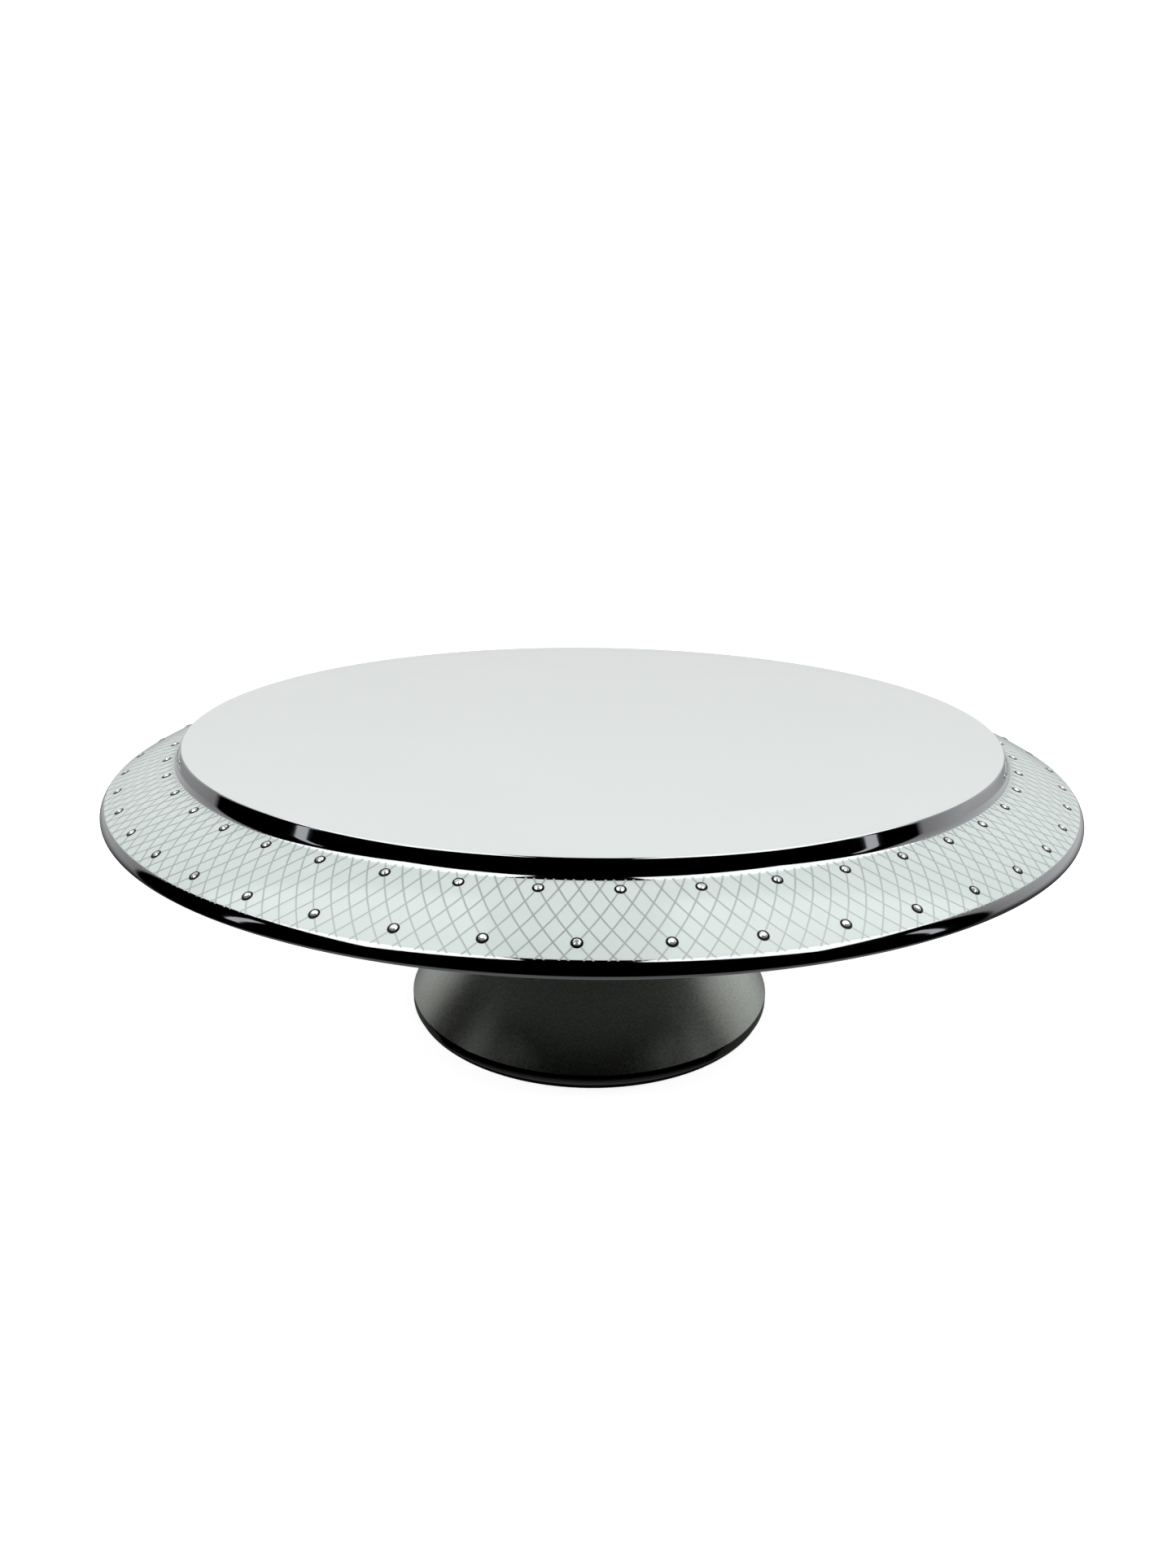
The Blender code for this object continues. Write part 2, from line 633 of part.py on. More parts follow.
def make_screws():
    pan = pan_screw_mesh(HOUSING_THICKNESS + TOP_FLANGE_THICKNESS)
    for number, (x, y) in enumerate(housing_screw_places(), 1):
        add_object(f"housing_screw_{number}", pan, "zinc_steel", None, (x, y, HOUSING_TOP + SEAT_GAP))
    short = flat_screw_mesh("cover_screw", COVER_THICKNESS + BOTTOM_FLANGE_THICKNESS)
    for number, (x, y) in enumerate(cover_screw_places(), 1):
        add_object(f"cover_screw_{number}", short, "zinc_steel", None, (x, y, FOOT_BOTTOM))
    long = flat_screw_mesh("ballast_screw", ballast_screw_length())
    for number, (x, y) in enumerate(ballast_screw_places(), 1):
        add_object(f"ballast_screw_{number}", long, "zinc_steel", None, (x, y, FOOT_BOTTOM))


def main():
    clear_scene()
    turntable = add_axis("turntable_axis", PLATE_TOP)
    cage_axis = add_axis("cage_axis", BALL_CENTRE)
    make_plate(turntable)
    make_bond_ring(turntable)
    make_carrier(turntable)
    upper_face = BALL_CENTRE + RACE_FACE_TO_BALL_CENTRE
    make_race("upper_race", upper_face, UPPER_RACE_TOP, turntable, PLATE_TOP)
    make_spindle(turntable)
    make_washer_and_nut(turntable)
    make_balls_and_cage(cage_axis)
    lower_face = BALL_CENTRE - RACE_FACE_TO_BALL_CENTRE
    make_race("lower_race", lower_face, LOWER_RACE_BOTTOM, None, 0.0)
    make_bearing_housing()
    make_bushes()
    make_foot()
    make_base_cover()
    make_ballast()
    make_foot_ring()
    make_screws()


main()
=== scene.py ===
"""The looks of a cake turntable: a glazed porcelain plate on a satin steel foot.

The plate carries platinum lustre, a platinum lattice and two rings of set crystals.

Lengths are in metres, with +Z up and the origin on the table under the middle of the foot.
Each piece is made at its place, and rides on the part of the turntable that carries it.
"""

import math

import bmesh
import bpy
from mathutils import Matrix, Vector
from mathutils.geometry import interpolate_bezier


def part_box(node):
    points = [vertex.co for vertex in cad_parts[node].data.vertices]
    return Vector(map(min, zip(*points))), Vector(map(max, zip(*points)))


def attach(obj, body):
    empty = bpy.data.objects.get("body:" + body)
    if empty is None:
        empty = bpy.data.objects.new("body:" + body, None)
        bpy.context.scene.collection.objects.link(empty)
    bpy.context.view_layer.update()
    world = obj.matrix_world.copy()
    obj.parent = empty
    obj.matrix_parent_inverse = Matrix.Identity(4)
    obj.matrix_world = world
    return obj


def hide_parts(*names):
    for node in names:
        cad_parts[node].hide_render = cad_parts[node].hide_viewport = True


MM = 0.001

# The plate: a flat middle, a short steep step, a sloped rim and a rolled lip
PLATE_RADIUS = 175 * MM
PLATE_TOP = 118 * MM
PLATE_UNDERSIDE = 110 * MM
MIDDLE_RADIUS = 148 * MM
MIDDLE_ROUND = 0.8 * MM
STEP_LEAN = 18.0
STEP_FILLET = 3.0 * MM
STEP_FILLET_CENTRE = (151.76 * MM, 115.47 * MM)
RIM_START_SLOPE = 17.0
RIM_END = (172.6 * MM, 103.0 * MM)
RIM_END_SLOPE = 30.0
LIP_BOTTOM = (171.8 * MM, 98.2 * MM)
RIM_BACK = (165.2 * MM, 99.9 * MM)
UNDERSIDE_EDGE = 135.5 * MM
# Curve handles. The lip's are shares of its width: out and down from the rim, then out
LIP_PULLS = (0.53, 0.4, 1.4)
# Behind the lip: in and up from its bottom, then out and down from the back of the rim
LIP_BACK_PULLS = ((2.0 * MM, 0.1 * MM), (2.4 * MM, 1.0 * MM))
# Under the plate, from the back of the rim: first in and up, then in
RIM_BACK_PULL = (12.6 * MM, 6.1 * MM)
UNDERSIDE_PULL = 18.3 * MM

# Platinum lustre is painted on the step and on the lip, and the lattice runs between them
STEP_BAND = (147.6 * MM, 150.1 * MM)
LIP_BAND = 172.4 * MM
LATTICE_COUNT = 192
LATTICE_INNER = 149.9 * MM
LATTICE_OUTER = 172.8 * MM
# Real lines look 0.35 mm wide at most, at this scale. These are drawn wider than that
LATTICE_LINE = 0.5 * MM
LATTICE_THICKNESS = 0.04 * MM
LATTICE_BOW = 0.2
LATTICE_STEPS = 11
# The unglazed ring under the plate, from its inner to its outer radius
KILN_RING = (100 * MM, 103 * MM)

# Crystals sit on the lattice's crossings, in two staggered rings
CRYSTAL_COUNT = 48
CRYSTAL_RING_INNER = 153.0 * MM
CRYSTAL_RING_OUTER = 168.5 * MM
CRYSTAL_START = 2.74
CRYSTAL_RADIUS = 1.20 * MM
CRYSTAL_TABLE = 0.55 * MM
CRYSTAL_HEIGHT = 0.40 * MM
CRYSTAL_BEVEL = 0.16 * MM
# Real crystals look about 2.8 mm across their dark edge, at this scale. These cups are wider
CUP_RADIUS = 1.60 * MM
CUP_HEIGHT = 0.24 * MM
CUP_SINK = 0.05 * MM

# The foot: a spun shell with a flange turned in at each end
FOOT_RADIUS = 72.5 * MM
FOOT_BOTTOM = 2.0 * MM
FOOT_WALL = 2.4 * MM
FOOT_RIM_HEIGHT = 5.8 * MM
FOOT_RIM_ROUND = 1.2 * MM
FOOT_RIM_CHAMFER = 0.5 * MM
FOOT_LEAN = 0.65
# The cone's handles, as shares of its climb, and the flare's, as shares of its own
CONE_PULLS = (0.62, 0.42)
FLARE_PULLS = (0.75, 1.1, 0.1)
NECK_RADIUS = 24.5 * MM
NECK_SHARE = 0.80
FOOT_TOP = 91.1 * MM
FOOT_TOP_RADIUS = 47 * MM
FOOT_TOP_EDGE = 2.0 * MM
FOOT_TOP_CHAMFER = 0.4 * MM
TOP_FLANGE_HOLE = 19 * MM
TOP_FLANGE_THICKNESS = 3.0 * MM
BOTTOM_FLANGE_HOLE = 52 * MM
BOTTOM_FLANGE = (4.7 * MM, 8.3 * MM)

# The carrier disc under the plate, with its hub and a recess for the spindle's head
SPINDLE_HOLE = 4.3 * MM
SPINDLE_HEAD_RECESS = (8.3 * MM, 2.2 * MM)
HUB_RADIUS = 11 * MM
DISC_THICKNESS = 4.2 * MM
BOND_HOLE = 37.7 * MM

# The bearing: balls in a cage between two races, each race in its seat
BALL_PITCH_RADIUS = 36 * MM
BALL_RADIUS = 3.0 * MM
BALL_COUNT = 12
BALL_START = 5.0
RACE_HOLE = 30 * MM
GROOVE_GAP = 0.3 * MM
RACE_FACE_TO_BALL_CENTRE = 1.8 * MM
RACE_SEAT = (29.7 * MM, 42.3 * MM)
RACE_SEAT_DEPTH = 1.2 * MM

# The housing in the top of the foot, with a recess for the upper bush's flange
BUSH_BORE = 6.8 * MM
TUBE_RADIUS = 12 * MM
HOUSING_THICKNESS = 4.4 * MM
BUSH_FLANGE_RECESS = (8.9 * MM, 1.5 * MM)

# Countersunk screws and their cross recess, and the rubber ring
SCREW_HEAD_RADIUS = 2.9 * MM
SCREW_HEAD_EDGE = 0.15 * MM
SCREW_SHANK_RADIUS = 1.5 * MM
SCREW_HEAD_DEPTH = 1.5 * MM
CROSS_ARM = 1.7 * MM
CROSS_HALF_WIDTH = 0.3 * MM
CROSS_DEPTH = 1.1 * MM
RUBBER_RING_HOLE = 63.5 * MM

# The camera stands in front of the object, along -Y, and looks down at it
CAMERA_PLACE = (0.0, -380 * MM, 211 * MM)
CAMERA_DOWN = 17.66
CAMERA_RIGHT = -0.21
CAMERA_ROLL = 0.58
LENS_MM = 23.31
SENSOR_MM = 36.0

# Two softboxes hang over the plate. Each is given by its side, how far it leans from overhead
# and half the width it is seen at, in degrees, and by where its strip stands along Y
SOFTBOXES = {
    "softbox_left": (-1, 29.5, 17.5, -0.43),
    "softbox_right": (1, 28.5, 19.5, -0.50),
}
SOFTBOX_REACH = 1.4
SOFTBOX_DEPTH = 1.4
SOFTBOX_FORWARD = -0.18
SOFTBOX_WATTS = 8.4
STRIP_ASIDE = 1.33
STRIP_HEIGHT = 0.42
STRIP_SIZE = (0.09, 0.65)
STRIP_WATTS = 0.12

# The fills light the object and aren't mirrored in it: place, size and watts
FILLS = {
    "front_fill": ((0, -1.6, 0.7), (2.0, 1.0), 8),
    "left_fill": ((-1.7, 0.2, 0.3), (1.0, 1.0), 9.5),
    "right_fill": ((1.7, 0.2, 0.3), (1.0, 1.0), 7.5),
}

# Steps in a full turn, for the plate and the foot and for smaller pieces
ROUND = 288
SMALL_ROUND = 144


def linear(hex_colour):
    """An sRGB hex colour as linear RGBA."""
    channels = [int(hex_colour[i : i + 2], 16) / 255 for i in (1, 3, 5)]
    return [c / 12.92 if c <= 0.04045 else ((c + 0.055) / 1.055) ** 2.4 for c in channels] + [1.0]


def per_metre(size_mm):
    """The scale of a noise whose features are about this size."""
    return 1000 / size_mm


def rings_per_metre(pitch_mm):
    """The scale of a ring wave with this pitch. At scale 1 a wave is tau / 20 long."""
    return math.tau / 20 * 1000 / pitch_mm


def add_node(tree, kind, inputs=None, **settings):
    """Adds a node, sets its settings, and sets or links each named input."""
    made = tree.nodes.new(kind)
    for name, value in settings.items():
        setattr(made, name, value)
    for name, value in (inputs or {}).items():
        if isinstance(value, bpy.types.NodeSocket):
            tree.links.new(value, made.inputs[name])
        else:
            made.inputs[name].default_value = value
    return made


def new_material(name, **inputs):
    """A material with a Principled shader, its inputs set by name with _ for a space."""
    material = bpy.data.materials.new(name)
    material.use_nodes = True
    tree = material.node_tree
    shader = tree.nodes["Principled BSDF"]
    for key, value in inputs.items():
        shader.inputs[key.replace("_", " ")].default_value = value
    where = add_node(tree, "ShaderNodeTexCoord").outputs["Object"]
    return material, tree, shader, where


def grained_material(name, light, dark, grain_mm, detail, **inputs):
    """A material whose colour shifts between two tones with a grain of this size."""
    material, tree, shader, where = new_material(name, **inputs)
    grain = add_node(
        tree,
        "ShaderNodeTexNoise",
        {"Vector": where, "Scale": per_metre(grain_mm), "Detail": detail},
    )
    tone = add_node(
        tree,
        "ShaderNodeMix",
        {"Factor": grain.outputs["Fac"], "A": linear(dark), "B": linear(light)},
        data_type="RGBA",
    )
    tree.links.new(tone.outputs["Result"], shader.inputs["Base Color"])
    return material, tree, shader, where, grain


def non_metal(name, light, dark, roughness, grain_mm, depth_mm, ior, detail=3.0, strength=0.5):
    """A moulded, cured or fired material, with a grain in its colour and its surface."""
    material, tree, shader, where, grain = grained_material(
        name, light, dark, grain_mm, detail, Roughness=roughness, IOR=ior
    )
    bump = add_node(
        tree,
        "ShaderNodeBump",
        {"Height": grain.outputs["Fac"], "Strength": strength, "Distance": depth_mm * MM},
    )
    tree.links.new(bump.outputs["Normal"], shader.inputs["Normal"])
    return material


def metal(
    name, light, dark, roughness, spread, grain_mm, depth_mm, metallic=1.0, ring_pitch_mm=None
):
    """A metal whose grain shifts its colour, its roughness and, by depth_mm, its surface."""
    material, tree, shader, where, grain = grained_material(
        name, light, dark, grain_mm, 4.0, Metallic=metallic
    )
    rough = add_node(
        tree,
        "ShaderNodeMapRange",
        {
            "Value": grain.outputs["Fac"],
            "From Min": 0.3,
            "From Max": 0.7,
            "To Min": roughness - spread,
            "To Max": roughness + spread,
        },
    )
    tree.links.new(rough.outputs["Result"], shader.inputs["Roughness"])
    bump = add_node(
        tree,
        "ShaderNodeBump",
        {"Height": grain.outputs["Fac"], "Strength": 0.4, "Distance": depth_mm * MM},
    )
    if ring_pitch_mm:
        rings = add_node(
            tree,
            "ShaderNodeTexWave",
            {"Vector": where, "Scale": rings_per_metre(ring_pitch_mm), "Distortion": 0.2},
            wave_type="RINGS",
            rings_direction="Z",
        )
        bump = add_node(
            tree,
            "ShaderNodeBump",
            {
                "Height": rings.outputs["Fac"],
                "Strength": 0.35,
                "Distance": 0.03 * MM,
                "Normal": bump.outputs["Normal"],
            },
        )
    tree.links.new(bump.outputs["Normal"], shader.inputs["Normal"])
    return material


def glazed_porcelain():
    """Hard white porcelain under a fired clear glaze: deep gloss on a faintly uneven surface."""
    # The glaze pools a little over hand-sized areas, which shifts its white very slightly.
    material, tree, shader, where, pooling = grained_material(
        "glazed_white_porcelain", "#DADEDC", "#D6DBD9", 60, 2.0, Roughness=0.07, IOR=1.5
    )
    # The glaze has a soft ripple, assumed to be about 14 mm long and a few microns deep.
    ripple = add_node(
        tree, "ShaderNodeTexNoise", {"Vector": where, "Scale": per_metre(14), "Detail": 1.0}
    )
    bump = add_node(
        tree,
        "ShaderNodeBump",
        {"Height": ripple.outputs["Fac"], "Strength": 0.25, "Distance": 0.03 * MM},
    )
    tree.links.new(bump.outputs["Normal"], shader.inputs["Normal"])
    return material


def transfer_flux():
    """The clear flux of the fired lattice transfer: porcelain seen through a thin, cool layer."""
    return non_metal(
        "fired_transfer_flux", "#D7E0DD", "#CEDAD6", 0.12, 9, 0.02, 1.5, strength=0.2
    )


def bare_bisque():
    """The ring left unglazed where the plate stood in the kiln: matt, dry and slightly grey."""
    return non_metal("bare_bisque", "#DAD8D2", "#C9C6BE", 0.85, 0.8, 0.1, 1.5, detail=4.0)


def nitrile_rubber():
    """Moulded black rubber, dull, with a fine skin."""
    return non_metal("black_nitrile_rubber", "#0D0D0D", "#070707", 0.85, 0.7, 0.06, 1.5)


def moulded_nylon():
    """Natural nylon: a warm off-white with a soft sheen."""
    return non_metal("moulded_nylon", "#E9E4D4", "#DDD8C6", 0.5, 2.0, 0.02, 1.53)


def cured_silicone():
    """A bead of silicone that cured in place: pale grey and slightly uneven."""
    return non_metal("cured_silicone", "#C9CBC8", "#BBBDBA", 0.55, 3.0, 0.03, 1.41)


def platinum_lustre():
    """Liquid platinum brushed on the glaze and fired: a mirror with the brush's slow waves."""
    return metal("platinum_lustre", "#C4C7CA", "#B8BBBF", 0.05, 0.02, 16, 0.02)


def platinum_line():
    """The same platinum in printed lines, duller where the flux shows through."""
    return metal(
        "platinum_transfer_line", "#B4BCB9", "#A4ACA9", 0.36, 0.06, 2, 0.01, metallic=0.4
    )


def satin_steel():
    """Spun stainless steel, bead-blasted to an even satin.

    Real marks are assumed to be about 0.1 mm wide, which is too fine to show. They are drawn
    0.7 mm wide, a chosen width.
    """
    return metal("satin_spun_steel", "#EEF4ED", "#868D86", 0.34, 0.05, 0.7, 0.012)


def polished_steel():
    """The foot's bottom edge, buffed bright."""
    return metal("buffed_steel_edge", "#8B8C8A", "#7A7B79", 0.09, 0.02, 4, 0.005)


def turned_aluminium():
    """Aluminium faced on a lathe: fine rings that catch the light as arcs.

    Real rings are assumed to be about 0.2 mm apart, which is too fine to show. They are drawn
    0.7 mm apart, a chosen pitch.
    """
    return metal(
        "lathe_turned_aluminium", "#C7C8CA", "#B4B6B8", 0.34, 0.05, 6, 0.02, ring_pitch_mm=0.7
    )


def ground_steel():
    """Hardened bearing steel, ground and polished: bright and slightly blue."""
    return metal("ground_bearing_steel", "#C9CBCE", "#B9BCC0", 0.12, 0.04, 3, 0.004)


def zinc_plate():
    """Bright zinc plated on steel: a pale blue-grey, uneven over a few millimetres."""
    return metal("bright_zinc_plate", "#C3C7CC", "#AEB2B7", 0.28, 0.08, 3.5, 0.01)


def sintered_bronze():
    """Sintered bronze, dull and open-grained."""
    return metal("sintered_bronze", "#B58A50", "#8C6636", 0.42, 0.08, 0.8, 0.05)


def cast_iron():
    """Sand-cast iron, oiled: near black, with a coarse sand skin."""
    return metal("oiled_cast_iron", "#3A3B3C", "#232324", 0.62, 0.1, 1.6, 0.3)


def foiled_crystal():
    """Cut glass with a silver foil behind it: each facet returns its own piece of the room."""
    return metal("foiled_crystal", "#F6F8F9", "#EDF1F2", 0.05, 0.01, 0.8, 0.001, metallic=0.7)


def crystal_cup():
    """A thin near-black cup under each crystal, which draws the dark ring round it."""
    # The cup is near black so that it draws the dark ring seen round each crystal.
    return metal("near_black_crystal_cup", "#1E1E20", "#121214", 0.3, 0.05, 0.6, 0.01)


def arc(centre, radius, start, end, steps):
    """Points of (radius, height) on an arc, with its angles in degrees from straight outwards."""
    angles = [math.radians(start + (end - start) * i / steps) for i in range(steps + 1)]
    return [(centre[0] + radius * math.cos(a), centre[1] + radius * math.sin(a)) for a in angles]


def curve(start, start_handle, end_handle, end, steps):
    """Points of (radius, height) on a Bezier curve."""
    knots = [Vector(p) for p in (start, start_handle, end_handle, end)]
    return [(p.x, p.y) for p in interpolate_bezier(*knots, steps + 1)]


def add_piece(name, bm, body, materials, replaced=()):
    """Makes the bmesh a piece that rides on a body and stands for the nodes it replaces."""
    bmesh.ops.remove_doubles(bm, verts=bm.verts, dist=1e-6)
    bmesh.ops.recalc_face_normals(bm, faces=bm.faces)
    mesh = bpy.data.meshes.new(name)
    bm.to_mesh(mesh)
    bm.free()
    mesh.shade_smooth()
    mesh.set_sharp_from_angle(angle=math.radians(30))
    for material in materials:
        mesh.materials.append(material)
    piece = bpy.data.objects.new(name, mesh)
    bpy.context.scene.collection.objects.link(piece)
    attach(piece, body)
    if replaced:
        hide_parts(*replaced)
    return piece


def turn(bm, section, steps):
    """Turns a section of (radius, height) points round Z.

    A section that starts and ends on the axis is left open there.
    """
    points = [bm.verts.new((radius, 0, height)) for radius, height in section]
    solid = section[0][0] == 0 and section[-1][0] == 0
    followers = points[1:] if solid else points[1:] + points[:1]
    edges = [bm.edges.new(pair) for pair in zip(points, followers)]
    bmesh.ops.spin(
        bm,
        geom=points + edges,
        cent=(0, 0, 0),
        axis=(0, 0, 1),
        angle=math.tau,
        steps=steps,
        use_merge=True,
    )


def repeat_round(bm, geom, count):
    """Copies geometry round Z until there are count of it."""
    bmesh.ops.spin(
        bm,
        geom=geom,
        cent=(0, 0, 0),
        axis=(0, 0, 1),
        angle=math.tau * (count - 1) / count,
        steps=count - 1,
        use_duplicate=True,
    )


def softened(section, width):
    """A closed section of square corners with each corner cut back to a small flat."""
    cut = []
    for i, point in enumerate(section):
        here = Vector(point)
        for other in (section[i - 1], section[(i + 1) % len(section)]):
            away = Vector(other) - here
            cut.append(tuple(here + away.normalized() * min(width, away.length * 0.3)))
    return cut


def polar(radius, degrees, height=0.0):
    """A point at a radius and an angle round Z."""
    angle = math.radians(degrees)
    return Vector((radius * math.cos(angle), radius * math.sin(angle), height))


def fall(run, degrees):
    """How far a slope goes down over a run."""
    return run * math.tan(math.radians(degrees))


def rim_outline():
    """The plate's upper side, from the edge of its middle to the rolled lip's bottom."""
    round_centre = (MIDDLE_RADIUS - MIDDLE_ROUND, PLATE_TOP - MIDDLE_ROUND)
    top_edge = arc(round_centre, MIDDLE_ROUND, 90, STEP_LEAN, 8)
    fillet = arc(STEP_FILLET_CENTRE, STEP_FILLET, 180 + STEP_LEAN, 270 - RIM_START_SLOPE, 14)
    reach = (RIM_END[0] - fillet[-1][0]) / 3
    end_reach = reach * 0.8
    rim = curve(
        fillet[-1],
        (fillet[-1][0] + reach, fillet[-1][1] - fall(reach, RIM_START_SLOPE)),
        (RIM_END[0] - end_reach, RIM_END[1] + fall(end_reach, RIM_END_SLOPE)),
        RIM_END,
        30,
    )
    lip_reach = PLATE_RADIUS - RIM_END[0]
    lip = curve(
        RIM_END,
        (RIM_END[0] + lip_reach * LIP_PULLS[0], RIM_END[1] - lip_reach * LIP_PULLS[1]),
        (RIM_END[0] + lip_reach * LIP_PULLS[2], LIP_BOTTOM[1]),
        LIP_BOTTOM,
        24,
    )
    return top_edge + fillet[:-1] + rim[:-1] + lip


def height_at(outline, radius):
    """The outline's height at a radius, where the outline falls away outwards."""
    for (r0, z0), (r1, z1) in zip(outline, outline[1:]):
        if r0 <= radius <= r1 and r1 > r0:
            return z0 + (z1 - z0) * (radius - r0) / (r1 - r0)
    raise ValueError(f"radius {radius} is off the outline")


def slope_at(outline, radius):
    """How far the outline is turned down from level at a radius, in radians."""
    step = 0.2 * MM
    drop = height_at(outline, radius - step) - height_at(outline, radius + step)
    return math.atan2(drop, 2 * step)


def make_plate(outline, materials):
    """The whole plate, its finishes given face by face."""
    underside = curve(
        RIM_BACK,
        (RIM_BACK[0] - RIM_BACK_PULL[0], RIM_BACK[1] + RIM_BACK_PULL[1]),
        (RIM_BACK[0] - UNDERSIDE_PULL, PLATE_UNDERSIDE),
        (UNDERSIDE_EDGE, PLATE_UNDERSIDE),
        24,
    )
    (first_in, first_up), (last_out, last_down) = LIP_BACK_PULLS
    lip_back = curve(
        LIP_BOTTOM,
        (LIP_BOTTOM[0] - first_in, LIP_BOTTOM[1] + first_up),
        (RIM_BACK[0] + last_out, RIM_BACK[1] - last_down),
        RIM_BACK,
        8,
    )
    middles = [(MIDDLE_RADIUS * share, PLATE_TOP) for share in (0, 0.25, 0.5, 0.75, 0.9)]
    kiln = [(radius, PLATE_UNDERSIDE) for radius in (KILN_RING[1], KILN_RING[0], 0)]
    bm = bmesh.new()
    turn(bm, middles + outline + lip_back[1:-1] + underside + kiln, ROUND)
    for face in bm.faces:
        centre = face.calc_center_median()
        face.material_index = plate_zone(outline, centre.xy.length, centre.z)
    add_piece("glazed_plate", bm, "turntable", materials, ["plate"])


def plate_zone(outline, radius, height):
    """Which finish a place on the plate has: 0 glaze, 1 flux, 2 platinum, 3 bare bisque."""
    if STEP_BAND[0] < radius < STEP_BAND[1] and height > PLATE_UNDERSIDE + MM:
        return 2
    if radius > LIP_BAND and height > LIP_BOTTOM[1] - MM:
        return 2
    if STEP_BAND[1] <= radius <= LIP_BAND and height > height_at(outline, radius) - 0.5 * MM:
        return 1
    if KILN_RING[0] < radius < KILN_RING[1] and height < PLATE_UNDERSIDE + 0.1 * MM:
        return 3
    return 0


def make_lattice(outline, material):
    """Two crossing families of lines, each line a thin strip laid on the rim."""
    # From one ring of crystals to the other a line leads by four half-spacings, in degrees.
    lead_between_rings = 4 * 180 / LATTICE_COUNT
    bm = bmesh.new()
    bmesh.ops.create_grid(bm, x_segments=LATTICE_STEPS, y_segments=1, size=0.5)
    for vertex in bm.verts:
        # The steps are shorter towards both ends, where the rim curves most.
        share = 0.5 + 0.5 * math.sin(math.pi * vertex.co.x)
        radius = LATTICE_INNER + share * (LATTICE_OUTER - LATTICE_INNER)
        # A line leans over more and more as it runs outwards, so that it bows.
        out = (radius - CRYSTAL_RING_INNER) / (CRYSTAL_RING_OUTER - CRYSTAL_RING_INNER)
        lead = lead_between_rings * out * (1 - LATTICE_BOW + LATTICE_BOW * out)
        across = math.degrees(vertex.co.y * LATTICE_LINE / radius)
        vertex.co = polar(radius, lead + across, height_at(outline, radius) + LATTICE_THICKNESS)
    bmesh.ops.recalc_face_normals(bm, faces=bm.faces)
    bmesh.ops.solidify(bm, geom=bm.faces[:], thickness=LATTICE_THICKNESS)
    repeat_round(bm, bm.verts[:] + bm.edges[:] + bm.faces[:], LATTICE_COUNT)
    bmesh.ops.mirror(
        bm,
        geom=bm.verts[:] + bm.edges[:] + bm.faces[:],
        matrix=Matrix.Identity(4),
        merge_dist=-1,
        axis="Y",
    )
    start = Matrix.Rotation(math.radians(CRYSTAL_START), 3, "Z")
    bmesh.ops.rotate(bm, verts=bm.verts, matrix=start)
    add_piece("platinum_lattice", bm, "turntable", [material])


def set_round(bm, verts, outline, radius, start, lift):
    """Stands what was made at the origin on the rim at a radius, then copies it round the ring."""
    lean = Matrix.Rotation(slope_at(outline, radius), 4, "Y")
    place = Matrix.Translation((radius, 0, height_at(outline, radius) + lift))
    about = Matrix.Rotation(math.radians(start), 4, "Z")
    verts = list(verts)
    bmesh.ops.transform(bm, matrix=about @ place @ lean, verts=verts)
    faces = {face for vertex in verts for face in vertex.link_faces}
    edges = {edge for vertex in verts for edge in vertex.link_edges}
    repeat_round(bm, verts + list(edges) + list(faces), CRYSTAL_COUNT)


def make_crystals(outline, crystal_material, cup_material):
    """Eight-sided cut crystals with a flat table, each in a thin round cup."""
    rings = [
        (CRYSTAL_RING_INNER, CRYSTAL_START),
        (CRYSTAL_RING_OUTER, CRYSTAL_START + 180 / CRYSTAL_COUNT),
    ]
    crystals = bmesh.new()
    cups = bmesh.new()
    for radius, start in rings:
        cut = bmesh.ops.create_cone(
            crystals,
            cap_ends=True,
            segments=8,
            radius1=CRYSTAL_RADIUS,
            radius2=CRYSTAL_TABLE,
            depth=CRYSTAL_HEIGHT,
        )["verts"]
        corners = {edge for vertex in cut for edge in vertex.link_edges if is_crown_edge(edge)}
        bevelled = bmesh.ops.bevel(
            crystals,
            geom=list(corners),
            affect="EDGES",
            offset=CRYSTAL_BEVEL,
            segments=1,
            profile=0.5,
            material=-1,
        )
        verts = {vertex for face in bevelled["faces"] for vertex in face.verts}
        verts |= {vertex for vertex in cut if vertex.is_valid}
        set_round(crystals, verts, outline, radius, start, CUP_HEIGHT / 2 + CRYSTAL_HEIGHT / 2)
        ring = bmesh.ops.create_cone(
            cups,
            cap_ends=True,
            segments=16,
            radius1=CUP_RADIUS,
            radius2=CUP_RADIUS * 0.9,
            depth=CUP_HEIGHT,
        )["verts"]
        set_round(cups, ring, outline, radius, start, CUP_HEIGHT / 2 - CUP_SINK)
    piece = add_piece("rim_crystals", crystals, "turntable", [crystal_material])
    piece.data.shade_flat()
    add_piece("crystal_cups", cups, "turntable", [cup_material])


def is_crown_edge(edge):
    """Whether an edge of a cone made at the origin slopes from its girdle to its table."""
    low, high = sorted(vertex.co.z for vertex in edge.verts)
    return low < 0 < high


